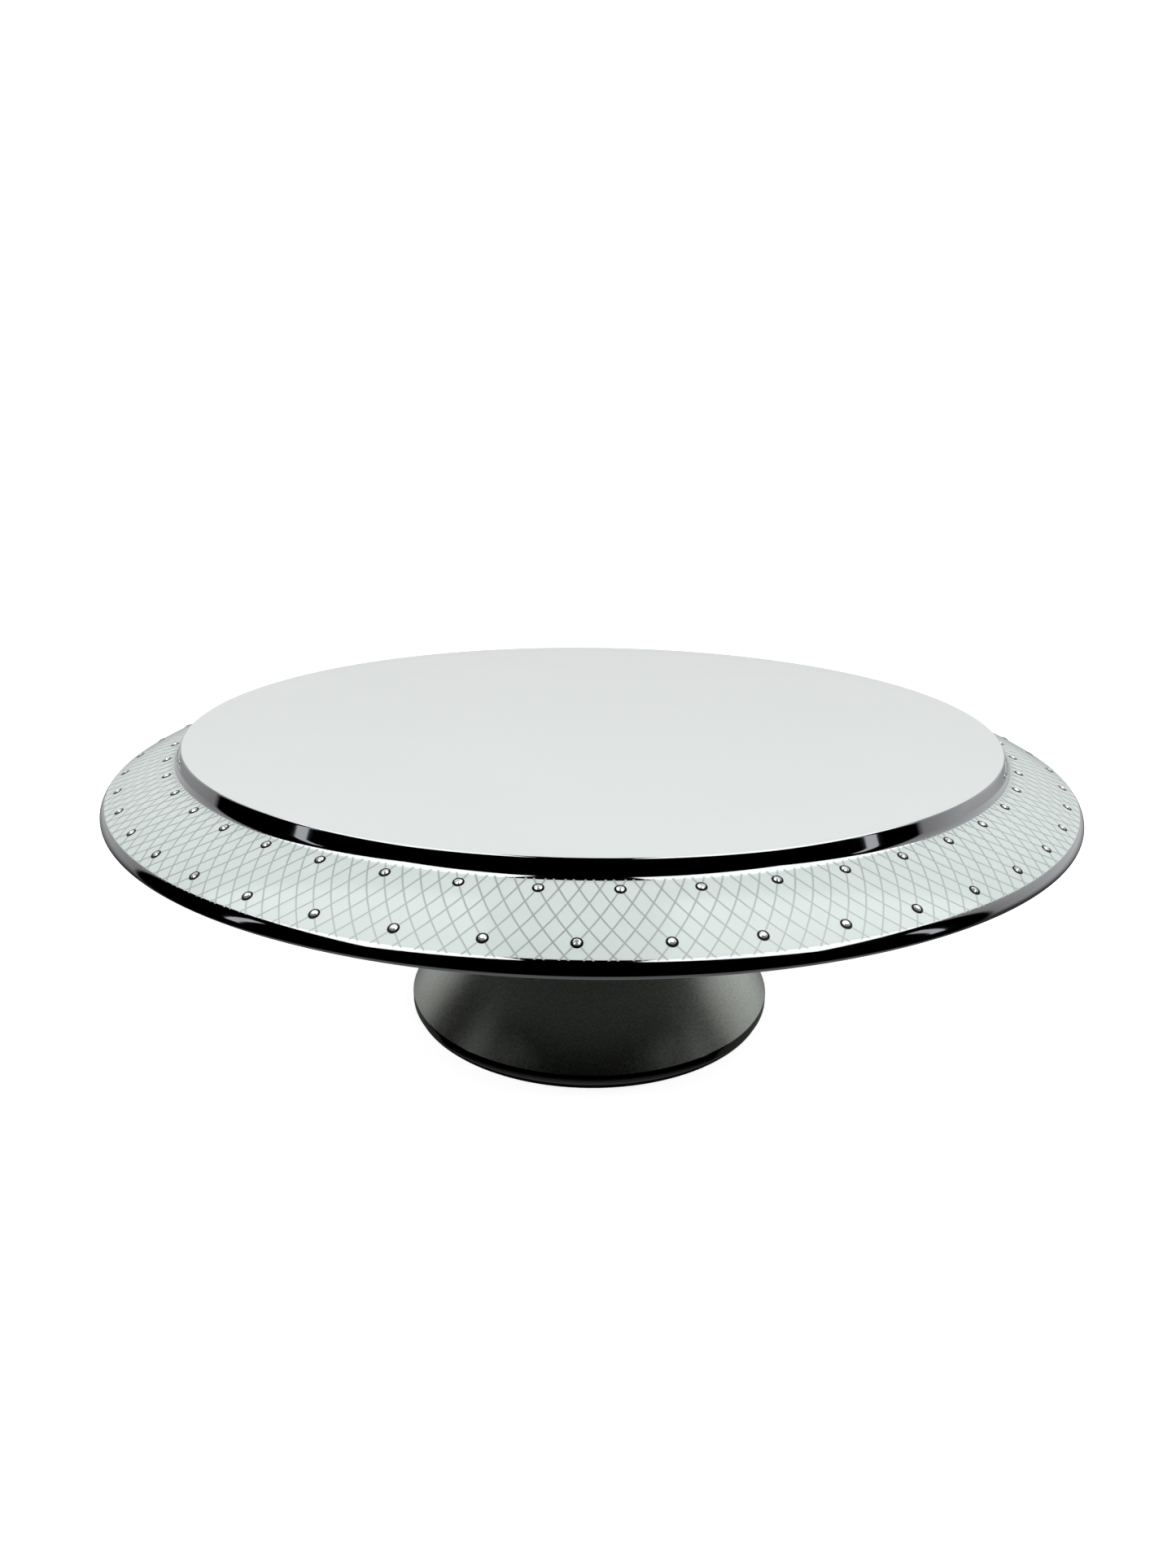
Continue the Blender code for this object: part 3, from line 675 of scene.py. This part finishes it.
def foot_outline():
    """The foot's outer side, up from its bottom edge, over its rim and neck to its top edge."""
    rim_centre = (FOOT_RADIUS - FOOT_RIM_ROUND, FOOT_RIM_HEIGHT - FOOT_RIM_ROUND * 0.4)
    chamfer_centre = (FOOT_RADIUS - FOOT_RIM_CHAMFER, FOOT_BOTTOM + FOOT_RIM_CHAMFER)
    rim = arc(chamfer_centre, FOOT_RIM_CHAMFER, -90, 0, 4)
    rim += arc(rim_centre, FOOT_RIM_ROUND, 0, math.degrees(math.atan(FOOT_LEAN)), 8)
    low = rim[-1]
    neck_height = FOOT_BOTTOM + NECK_SHARE * (FOOT_TOP - FOOT_BOTTOM)
    climb = neck_height - low[1]
    cone = curve(
        low,
        (low[0] - FOOT_LEAN * climb * CONE_PULLS[0], low[1] + climb * CONE_PULLS[0]),
        (NECK_RADIUS, neck_height - climb * CONE_PULLS[1]),
        (NECK_RADIUS, neck_height),
        40,
    )
    flare_end = (FOOT_TOP_RADIUS, FOOT_TOP - FOOT_TOP_EDGE)
    flare_climb = flare_end[1] - neck_height
    pull_up, pull_in, pull_down = (share * flare_climb for share in FLARE_PULLS)
    flare = curve(
        (NECK_RADIUS, neck_height),
        (NECK_RADIUS, neck_height + pull_up),
        (FOOT_TOP_RADIUS - pull_in, flare_end[1] - pull_down),
        flare_end,
        24,
    )
    return rim[:-1] + cone[:-1] + flare


def make_foot(materials):
    """The spun shell, satin all over but for its buffed bottom edge."""
    outline = foot_outline()
    cover_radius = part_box("base_cover")[1].x + 0.3 * MM
    # The cone leans, so its wall is wider along the level than it is thick.
    level_wall = FOOT_WALL * 1.25
    inner = [(radius - level_wall, height) for radius, height in outline]
    floor, ceiling = BOTTOM_FLANGE[1], FOOT_TOP - TOP_FLANGE_THICKNESS
    inner = [point for point in inner if floor + MM < point[1] < ceiling - MM]
    section = [
        (cover_radius, FOOT_BOTTOM),
        *outline,
        (FOOT_TOP_RADIUS, FOOT_TOP - FOOT_TOP_CHAMFER),
        (FOOT_TOP_RADIUS - FOOT_TOP_CHAMFER, FOOT_TOP),
        (TOP_FLANGE_HOLE, FOOT_TOP),
        (TOP_FLANGE_HOLE, ceiling),
        (inner[-1][0], ceiling),
        *reversed(inner),
        (inner[0][0] + 0.5 * MM, floor),
        (BOTTOM_FLANGE_HOLE, floor),
        (BOTTOM_FLANGE_HOLE, BOTTOM_FLANGE[0]),
        (cover_radius, BOTTOM_FLANGE[0]),
    ]
    bm = bmesh.new()
    turn(bm, section, ROUND)
    edge_top = FOOT_RIM_HEIGHT + 0.1 * MM
    for face in bm.faces:
        centre = face.calc_center_median()
        outer = centre.xy.length > cover_radius
        face.material_index = 1 if outer and centre.z < edge_top else 0
    add_piece("spun_foot", bm, "base", materials, ["foot"])


def make_eased(name, section, body, material, node, width=0.3 * MM):
    """Turns a section of square corners, each eased, to stand for a node."""
    bm = bmesh.new()
    turn(bm, softened(section, width), SMALL_ROUND)
    add_piece(name, bm, body, [material], [node])


def make_ring(name, node, inner, body, material, width=0.3 * MM):
    """A plain ring as wide and as tall as the node that it stands for."""
    low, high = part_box(node)
    section = [(inner, low.z), (high.x, low.z), (high.x, high.z), (inner, high.z)]
    make_eased(name, section, body, material, node, width)


def make_carrier(material):
    """The disc under the plate, with the hub that holds the spindle."""
    low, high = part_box("carrier")
    disc_bottom = high.z - DISC_THICKNESS
    seat_top = disc_bottom + RACE_SEAT_DEPTH
    recess_radius, recess_depth = SPINDLE_HEAD_RECESS
    section = [
        (SPINDLE_HOLE, low.z),
        (HUB_RADIUS, low.z),
        (HUB_RADIUS, disc_bottom),
        (RACE_SEAT[0], disc_bottom),
        (RACE_SEAT[0], seat_top),
        (RACE_SEAT[1], seat_top),
        (RACE_SEAT[1], disc_bottom),
        (high.x, disc_bottom),
        (high.x, high.z),
        (recess_radius, high.z),
        (recess_radius, high.z - recess_depth),
        (SPINDLE_HOLE, high.z - recess_depth),
    ]
    make_eased("turned_carrier", section, "turntable", material, "carrier")


def make_housing(material):
    """The flanged tube in the top of the foot."""
    low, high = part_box("bearing_housing")
    flange_bottom = high.z - HOUSING_THICKNESS
    seat_bottom = high.z - RACE_SEAT_DEPTH
    recess_radius, recess_depth = BUSH_FLANGE_RECESS
    section = [
        (BUSH_BORE, low.z),
        (TUBE_RADIUS, low.z),
        (TUBE_RADIUS, flange_bottom),
        (high.x, flange_bottom),
        (high.x, high.z),
        (RACE_SEAT[1], high.z),
        (RACE_SEAT[1], seat_bottom),
        (RACE_SEAT[0], seat_bottom),
        (RACE_SEAT[0], high.z),
        (recess_radius, high.z),
        (recess_radius, high.z - recess_depth),
        (BUSH_BORE, high.z - recess_depth),
    ]
    make_eased("turned_housing", section, "base", material, "bearing_housing")


def make_race(name, node, body, material, groove_side):
    """A race with its round groove, cut a little wider than the balls.

    The groove is in the race's top where groove_side is 1, and in its bottom where it is -1.
    """
    low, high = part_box(node)
    groove_radius = BALL_RADIUS + GROOVE_GAP
    face, back = (low.z, high.z) if groove_side < 0 else (high.z, low.z)
    half = math.degrees(math.acos(RACE_FACE_TO_BALL_CENTRE / groove_radius))
    centre = (BALL_PITCH_RADIUS, face + groove_side * RACE_FACE_TO_BALL_CENTRE)
    middle = -90 * groove_side
    groove = arc(
        centre, groove_radius, middle - groove_side * half, middle + groove_side * half, 14
    )
    if groove[0][0] > groove[-1][0]:
        groove.reverse()
    section = [
        (RACE_HOLE, face),
        *groove,
        (high.x, face),
        (high.x, back),
        (RACE_HOLE, back),
    ]
    bm = bmesh.new()
    turn(bm, section, SMALL_ROUND)
    add_piece(name, bm, body, [material], [node])


def make_balls(material):
    """The balls, made as one piece, because they go round together."""
    low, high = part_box("ball_01")
    bm = bmesh.new()
    bmesh.ops.create_uvsphere(bm, u_segments=24, v_segments=16, radius=BALL_RADIUS)
    centre = polar(BALL_PITCH_RADIUS, BALL_START, (low.z + high.z) / 2)
    bmesh.ops.translate(bm, verts=bm.verts, vec=centre)
    repeat_round(bm, bm.verts[:] + bm.edges[:] + bm.faces[:], BALL_COUNT)
    nodes = [f"ball_{number:02d}" for number in range(1, BALL_COUNT + 1)]
    add_piece("bearing_balls", bm, "cage", [material], nodes)


def cross_corners():
    """The corners of a cross recess, in order round it."""
    arm = [
        (CROSS_HALF_WIDTH, CROSS_HALF_WIDTH),
        (CROSS_HALF_WIDTH, CROSS_ARM),
        (-CROSS_HALF_WIDTH, CROSS_ARM),
    ]
    corners = []
    for _ in range(4):
        corners += arm
        arm = [(-y, x) for x, y in arm]
    return [Vector((x, y, 0)) for x, y in corners]


def grow(bm, edges):
    """Extrudes a loop of edges, and returns the new vertices and the new loop."""
    grown = bmesh.ops.extrude_edge_only(bm, edges=edges)["geom"]
    verts = [part for part in grown if isinstance(part, bmesh.types.BMVert)]
    loop = [
        part
        for part in grown
        if isinstance(part, bmesh.types.BMEdge) and all(v in verts for v in part.verts)
    ]
    return verts, loop


def make_flush_screws(name, nodes, material):
    """Countersunk screws, heads down, with a cross cut in each flat head."""
    bm = bmesh.new()
    for node in nodes:
        low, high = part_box(node)
        centre = (low + high) / 2
        made = bmesh.ops.create_circle(
            bm, cap_ends=True, segments=32, radius=SCREW_HEAD_RADIUS
        )["verts"]
        bmesh.ops.delete(bm, geom=[made[0].link_faces[0]], context="FACES_ONLY")
        inner = [bm.verts.new(corner) for corner in cross_corners()]
        inner_edges = [bm.edges.new(pair) for pair in zip(inner, inner[1:] + inner[:1])]
        outer_edges = list({edge for vertex in made for edge in vertex.link_edges})
        bmesh.ops.triangle_fill(bm, edges=outer_edges + inner_edges, use_beauty=True)
        lid = [face for face in bm.faces if all(v in inner for v in face.verts)]
        bmesh.ops.delete(bm, geom=lid, context="FACES_ONLY")
        sunk, floor = grow(bm, inner_edges)
        bmesh.ops.translate(bm, verts=sunk, vec=(0, 0, CROSS_DEPTH))
        bmesh.ops.contextual_create(bm, geom=floor)
        loop = outer_edges
        for radius, height in (
            (SCREW_HEAD_RADIUS, SCREW_HEAD_EDGE),
            (SCREW_SHANK_RADIUS, SCREW_HEAD_DEPTH),
            (SCREW_SHANK_RADIUS, high.z - low.z),
        ):
            ring, loop = grow(bm, loop)
            for vertex in ring:
                vertex.co = (vertex.co.xy.normalized() * radius).to_3d()
                vertex.co.z = height
            made += ring
        bmesh.ops.contextual_create(bm, geom=loop)
        place = (centre.x, centre.y, low.z)
        bmesh.ops.translate(bm, verts=made + inner + sunk, vec=place)
    add_piece(name, bm, "base", [material], nodes)


def finish_node(name, material):
    """Gives a node that is kept as it is a better material."""
    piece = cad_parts[name]
    piece.data.materials.clear()
    piece.data.materials.append(material)


def add_camera():
    """The camera, which looks a little down and is turned and tilted very slightly."""
    camera = bpy.data.cameras.new("camera")
    camera.sensor_width = SENSOR_MM
    camera.lens = LENS_MM
    camera.clip_start = 0.01
    stand = bpy.data.objects.new("camera", camera)
    bpy.context.scene.collection.objects.link(stand)
    heading = Matrix.Rotation(math.radians(-CAMERA_RIGHT), 4, "Z")
    tilt = Matrix.Rotation(math.radians(90 - CAMERA_DOWN), 4, "X")
    roll = Matrix.Rotation(math.radians(CAMERA_ROLL), 4, "Z")
    stand.matrix_world = Matrix.Translation(CAMERA_PLACE) @ heading @ tilt @ roll
    bpy.context.scene.camera = stand


def add_softbox(name, place, size, power):
    """A rectangular soft light aimed at the middle of the plate."""
    light = bpy.data.lights.new(name, "AREA")
    light.shape = "RECTANGLE"
    light.size, light.size_y = size
    light.energy = power
    lamp = bpy.data.objects.new(name, light)
    bpy.context.scene.collection.objects.link(lamp)
    lamp.location = place
    aim = Vector((0, 0, 0.1)) - Vector(place)
    lamp.rotation_euler = aim.to_track_quat("-Z", "Y").to_euler()
    lamp.visible_camera = False
    return lamp


def add_floor():
    """A pale floor, which gives back little light under the plate and is clear from below."""
    bm = bmesh.new()
    bmesh.ops.create_circle(bm, cap_ends=True, segments=96, radius=14)
    mesh = bpy.data.meshes.new("pale_floor")
    bm.to_mesh(mesh)
    bm.free()
    floor = bpy.data.objects.new("pale_floor", mesh)
    bpy.context.scene.collection.objects.link(floor)
    paper, tree, shader, _ = new_material("white_backdrop_paper", Roughness=0.9)
    shader.inputs["Base Color"].default_value = linear("#F7F7F6")
    shader.inputs["Emission Color"].default_value = linear("#FFFFFF")
    shader.inputs["Emission Strength"].default_value = 0.8
    dim = add_node(tree, "ShaderNodeBsdfDiffuse", {"Color": linear("#4A4A4A")})
    looked_at = add_node(tree, "ShaderNodeLightPath").outputs["Is Camera Ray"]
    above = add_node(
        tree, "ShaderNodeMixShader", {0: looked_at, 1: dim.outputs[0], 2: shader.outputs[0]}
    )
    back = add_node(tree, "ShaderNodeNewGeometry").outputs["Backfacing"]
    clear = add_node(tree, "ShaderNodeBsdfTransparent")
    one_sided = add_node(
        tree, "ShaderNodeMixShader", {0: back, 1: above.outputs[0], 2: clear.outputs[0]}
    )
    tree.links.new(one_sided.outputs[0], tree.nodes["Material Output"].inputs["Surface"])
    mesh.materials.append(paper)
    floor.visible_glossy = False


def add_lights():
    """A soft overhead light, two softboxes with a strip each, and the fills."""
    sun = bpy.data.lights.new("overhead", "SUN")
    sun.energy = 0.42
    sun.angle = math.radians(110)
    overhead = bpy.data.objects.new("overhead", sun)
    bpy.context.scene.collection.objects.link(overhead)
    overhead.visible_glossy = False

    for name, (side, lean, half, strip_y) in SOFTBOXES.items():
        turned = math.radians(lean)
        away = Vector((side * math.sin(turned), SOFTBOX_FORWARD, math.cos(turned)))
        width = 2 * SOFTBOX_REACH * math.tan(math.radians(half))
        softbox = add_softbox(
            name, away * SOFTBOX_REACH, (width, SOFTBOX_DEPTH), SOFTBOX_WATTS * width
        )
        softbox.rotation_euler = (0, side * turned, 0)
        # A dim upright strip on each side draws a narrow streak on the foot and on the platinum.
        strip_place = (side * STRIP_ASIDE, strip_y, STRIP_HEIGHT)
        add_softbox(f"{name}_strip", strip_place, STRIP_SIZE, STRIP_WATTS)
    for name, (place, size, power) in FILLS.items():
        add_softbox(name, place, size, power).visible_glossy = False


def add_tent():
    """A light tent round the object, dark where it opens at the front."""
    world = bpy.data.worlds.new("light_tent")
    bpy.context.scene.world = world
    world.use_nodes = True
    tree = world.node_tree
    tree.nodes.clear()
    where = add_node(tree, "ShaderNodeTexCoord").outputs["Generated"]
    axes = add_node(tree, "ShaderNodeSeparateXYZ", {"Vector": where})
    # The opening is turned a little to the right, so the left side is dark further back.
    lean = add_node(
        tree, "ShaderNodeMath", {0: axes.outputs["X"], 1: 0.176}, operation="MULTIPLY"
    )
    turned_y = add_node(
        tree, "ShaderNodeMath", {0: axes.outputs["Y"], 1: lean.outputs["Value"]}, operation="ADD"
    )
    cloth = add_node(tree, "ShaderNodeValToRGB", {"Fac": turned_y.outputs["Value"]})
    ramp = cloth.color_ramp
    opening, edge = ramp.elements
    opening.position, opening.color = 0.15, (0.0, 0.0, 0.0, 1)
    edge.position, edge.color = 0.19, (0.31, 0.296, 0.296, 1)
    ramp.elements.new(0.75).color = (0.7, 0.7, 0.7, 1)
    # Less light comes from below the table's level.
    below = add_node(
        tree,
        "ShaderNodeMapRange",
        {
            "Value": axes.outputs["Z"],
            "From Min": -0.3,
            "From Max": 0.0,
            "To Min": 0.12,
            "To Max": 1.0,
        },
    )
    shaded = add_node(
        tree,
        "ShaderNodeVectorMath",
        {0: cloth.outputs["Color"], "Scale": below.outputs["Result"]},
        operation="SCALE",
    )
    # Straight down, the floor close in front of the foot gives back a little light.
    near_floor = add_node(
        tree,
        "ShaderNodeMapRange",
        {
            "Value": axes.outputs["Z"],
            "From Min": -0.75,
            "From Max": -0.6,
            "To Min": 0.14,
            "To Max": 0.0,
        },
    )
    lit = add_node(
        tree,
        "ShaderNodeVectorMath",
        {0: shaded.outputs["Vector"], 1: near_floor.outputs["Result"]},
        operation="ADD",
    )
    tent = add_node(tree, "ShaderNodeBackground", {"Color": lit.outputs["Vector"]})
    backdrop = add_node(tree, "ShaderNodeBackground", {"Color": (1, 1, 1, 1)})
    seen = add_node(tree, "ShaderNodeLightPath").outputs["Is Camera Ray"]
    mixed = add_node(
        tree, "ShaderNodeMixShader", {0: seen, 1: tent.outputs[0], 2: backdrop.outputs[0]}
    )
    add_node(tree, "ShaderNodeOutputWorld", {"Surface": mixed.outputs[0]})


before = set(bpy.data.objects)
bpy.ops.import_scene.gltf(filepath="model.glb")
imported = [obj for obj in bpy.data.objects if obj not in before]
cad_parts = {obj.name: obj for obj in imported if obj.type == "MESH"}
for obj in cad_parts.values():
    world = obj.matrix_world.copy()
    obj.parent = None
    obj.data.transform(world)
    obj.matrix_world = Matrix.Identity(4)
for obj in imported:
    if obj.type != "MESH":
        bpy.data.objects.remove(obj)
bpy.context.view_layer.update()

aluminium = turned_aluminium()
race_steel = ground_steel()
zinc = zinc_plate()
bronze = sintered_bronze()

outline = rim_outline()
make_plate(outline, [glazed_porcelain(), transfer_flux(), platinum_lustre(), bare_bisque()])
make_lattice(outline, platinum_line())
make_crystals(outline, foiled_crystal(), crystal_cup())
make_ring("silicone_bead", "bond_ring", BOND_HOLE, "turntable", cured_silicone())
make_carrier(aluminium)
make_race("upper_race_ring", "upper_race", "turntable", race_steel, -1)
make_race("lower_race_ring", "lower_race", "base", race_steel, 1)
make_balls(race_steel)
make_housing(aluminium)
make_foot([satin_steel(), polished_steel()])
make_ring(
    "rubber_ring",
    "foot_ring",
    RUBBER_RING_HOLE,
    "base",
    nitrile_rubber(),
    0.4 * MM,
)
for holds in ("cover", "ballast"):
    screws = [f"{holds}_screw_{number}" for number in (1, 2, 3)]
    make_flush_screws(f"{holds}_screw_set", screws, zinc)

kept = {
    "base_cover": zinc,
    "ballast": cast_iron(),
    "ball_cage": moulded_nylon(),
    "spindle": race_steel,
    "thrust_washer": zinc,
    "lock_nut": zinc,
    "upper_bush": bronze,
    "lower_bush": bronze,
}
kept.update({f"housing_screw_{number}": zinc for number in (1, 2, 3, 4)})
for name, material in kept.items():
    finish_node(name, material)

bpy.context.scene.view_settings.view_transform = "Standard"
add_camera()
add_floor()
add_lights()
add_tent()
